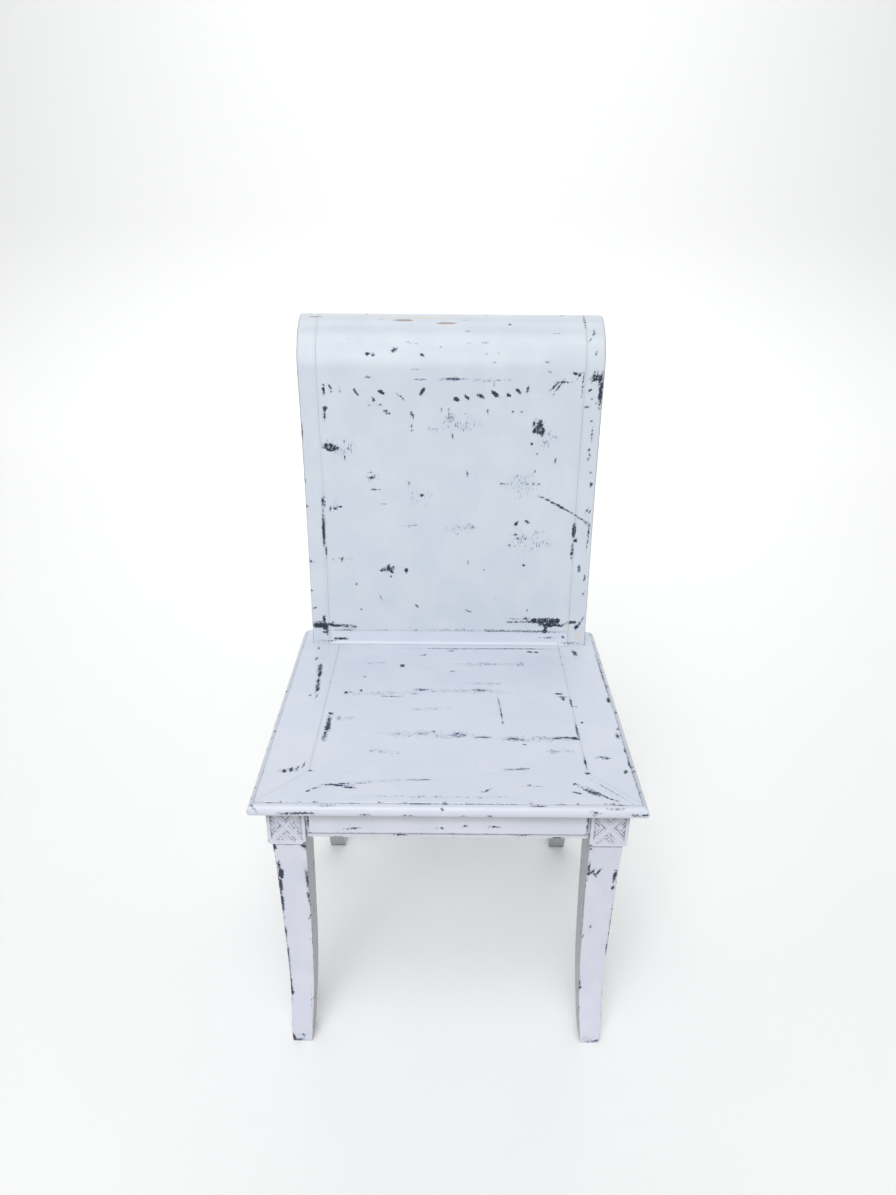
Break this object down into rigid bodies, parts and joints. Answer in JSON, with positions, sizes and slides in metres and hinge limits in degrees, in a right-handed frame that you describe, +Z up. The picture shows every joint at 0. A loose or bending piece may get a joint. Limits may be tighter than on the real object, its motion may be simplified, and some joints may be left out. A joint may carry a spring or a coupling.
{
  "type": "peeling paint chair",
  "caption": "Wooden dining chair with a rolled-over scroll back, sabre legs with carved square heads and worn white paint over a dark undercoat.",
  "frame": {"origin": "on the floor, under the middle of the chair's box", "axes": "+Z up, the chair faces -Y, +X to the right when the chair is seen from the front"},
  "size_m": [0.492, 0.6086, 0.9748],
  "materials": {
    "seat_paint": "worn chalky white paint",
    "back_paint": "worn chalky white paint",
    "leg_paint": "worn chalky white paint",
    "apron_paint": "worn chalky white paint",
    "bare_wood": "unpainted sawn wood",
    "screw_steel": "dull zinc-plated steel"
  },
  "bodies": {
    "root": {"seat_front_rail": "seat_paint", "seat_left_rail": "seat_paint", "seat_right_rail": "seat_paint", "seat_back_rail": "seat_paint", "seat_front_board": "seat_paint", "seat_middle_board": "seat_paint", "seat_rear_board": "seat_paint", "front_apron": "apron_paint", "left_apron": "apron_paint", "right_apron": "apron_paint", "back_apron": "apron_paint", "front_left_leg": "leg_paint", "back_left_post": "back_paint", "front_right_leg": "leg_paint", "back_right_post": "back_paint", "back_bottom_rail": "back_paint", "back_panel": "back_paint", "back_crest": "back_paint", "front_left_brace": "bare_wood", "front_left_brace_end_screw": "screw_steel", "front_left_brace_side_screw": "screw_steel", "front_left_brace_seat_screw": "screw_steel", "front_right_brace": "bare_wood", "front_right_brace_end_screw": "screw_steel", "front_right_brace_side_screw": "screw_steel", "front_right_brace_seat_screw": "screw_steel", "back_left_brace": "bare_wood", "back_left_brace_end_screw": "screw_steel", "back_left_brace_side_screw": "screw_steel", "back_left_brace_seat_screw": "screw_steel", "back_right_brace": "bare_wood", "back_right_brace_end_screw": "screw_steel", "back_right_brace_side_screw": "screw_steel", "back_right_brace_seat_screw": "screw_steel"}
  },
  "joints": []
}
